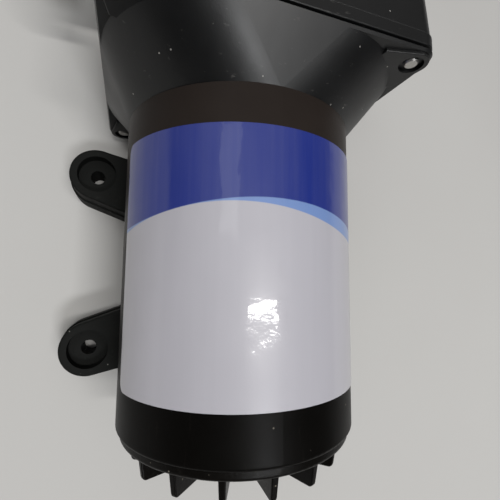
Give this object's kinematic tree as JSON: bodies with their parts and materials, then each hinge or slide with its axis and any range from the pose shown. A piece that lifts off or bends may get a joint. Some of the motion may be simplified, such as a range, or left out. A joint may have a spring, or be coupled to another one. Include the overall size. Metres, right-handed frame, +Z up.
{
  "type": "water pressure pump",
  "caption": "Water pressure pump for a caravan: a finned round motor on rubber feet drives a wobble plate diaphragm pump head with side ports and a pressure switch.",
  "frame": {"origin": "on the floor, at the centre of the rectangle of foot screw holes", "axes": "+Z up, +Y along the motor axis from the finned rear cap towards the pressure switch, +X to the right towards the outlet port"},
  "size_m": [0.127, 0.2072, 0.0912],
  "materials": {
    "can_paint": "satin, slightly worn",
    "cap_paint": "matt, dusty",
    "label_film": "gloss printed film",
    "foot_rubber": "matt",
    "seal_rubber": "matt",
    "zinc_steel": "zinc plated",
    "saddle_paint": "satin",
    "screw_steel": "dull",
    "bearing_steel": "polished",
    "shaft_steel": "ground",
    "core_steel": "laminated",
    "copper_wire": "enamelled copper",
    "commutator_copper": "turned copper",
    "ferrite": "ground ferrite",
    "phenolic": "pressed board",
    "holder_brass": "pressed sheet",
    "carbon": "pressed carbon",
    "spring_steel": "drawn wire",
    "cam_metal": "die cast",
    "pump_plastic": "moulded, fine grain",
    "inner_plastic": "moulded nylon",
    "clip_plastic": "moulded",
    "switch_plastic": "moulded",
    "button_plastic": "moulded",
    "adjuster_metal": "turned"
  },
  "bodies": {
    "housing": {"motor_can": "can_paint", "rear_cap": "cap_paint", "label": "label_film", "lead_gland": "seal_rubber", "motor_front_plate": "zinc_steel", "motor_tie_screws": "screw_steel", "rear_bearing": "bearing_steel", "front_bearing": "bearing_steel", "magnets": "ferrite", "brush_plate": "phenolic", "brush_holders": "holder_brass", "carbon_brushes": "carbon", "brush_springs": "spring_steel", "base_plate": "zinc_steel", "base_saddle": "saddle_paint", "base_screws": "zinc_steel", "foot_front_left": "foot_rubber", "foot_front_right": "foot_rubber", "foot_rear_left": "foot_rubber", "foot_rear_right": "foot_rubber", "lower_housing": "pump_plastic", "motor_screws": "screw_steel", "diaphragm": "seal_rubber", "valve_housing": "pump_plastic", "inlet_valves": "seal_rubber", "outlet_valve": "seal_rubber", "housing_seals": "seal_rubber", "corner_screws": "screw_steel", "upper_housing": "pump_plastic", "check_spring": "spring_steel", "check_cage": "inner_plastic", "switch_diaphragm": "seal_rubber", "switch_housing": "switch_plastic", "switch_spring": "spring_steel", "snap_switch": "switch_plastic", "switch_terminals": "holder_brass", "switch_cover": "switch_plastic", "switch_screws": "screw_steel"},
    "rotor": {"motor_shaft": "shaft_steel", "armature_core": "core_steel", "armature_windings": "copper_wire", "commutator": "commutator_copper", "cam": "cam_metal", "cam_set_screw": "screw_steel", "cam_bearing_inner_ring": "bearing_steel", "rear_bearing_inner_ring": "bearing_steel", "front_bearing_inner_ring": "bearing_steel"},
    "wobble": {"wobble_plate": "inner_plastic", "cam_bearing": "bearing_steel", "piston_retainers": "inner_plastic", "piston_screws": "screw_steel"},
    "inlet_clip": {"inlet_clip": "clip_plastic"},
    "outlet_clip": {"outlet_clip": "clip_plastic"},
    "plunger": {"switch_plunger": "inner_plastic"},
    "button": {"snap_button": "button_plastic"},
    "adjuster": {"adjusting_screw": "adjuster_metal"},
    "poppet": {"check_poppet": "inner_plastic"}
  },
  "joints": [
    {"name": "rotor_spin", "type": "hinge", "parent": "housing", "child": "rotor", "pos_m": [0, 0, 0.0483], "axis": [0, 1, 0], "continuous": true},
    {"name": "wobble_turn", "type": "hinge", "parent": "rotor", "child": "wobble", "pos_m": [0, 0.0536, 0.0483], "axis": [0, 0.9976, 0.0698], "continuous": true, "deforming": ["diaphragm"]},
    {"name": "inlet_clip_slide", "type": "slide", "parent": "housing", "child": "inlet_clip", "axis": [0, 0, 1], "range_m": [0, 0.014]},
    {"name": "outlet_clip_slide", "type": "slide", "parent": "housing", "child": "outlet_clip", "axis": [0, 0, 1], "range_m": [0, 0.014]},
    {"name": "plunger_slide", "type": "slide", "parent": "housing", "child": "plunger", "axis": [0, 1, 0], "range_m": [0, 0.0008], "stiffness_N_per_m": 400, "springref_m": -0.001, "deforming": ["switch_spring"]},
    {"name": "button_press", "type": "slide", "parent": "housing", "child": "button", "axis": [0, 1, 0], "range_m": [0, 0.0008]},
    {"name": "adjuster_turn", "type": "hinge", "parent": "housing", "child": "adjuster", "pos_m": [0, 0.145, 0.0483], "axis": [0, 1, 0], "range_deg": [-180, 180]},
    {"name": "poppet_slide", "type": "slide", "parent": "housing", "child": "poppet", "axis": [1, 0, 0], "range_m": [0, 0.003], "stiffness_N_per_m": 100, "springref_m": -0.002, "deforming": ["check_spring"]}
  ],
  "couplings": [
    {"joint": "wobble_turn", "follows": "rotor_spin", "ratio": -1},
    {"joint": "button_press", "follows": "plunger_slide", "ratio": 1}
  ]
}
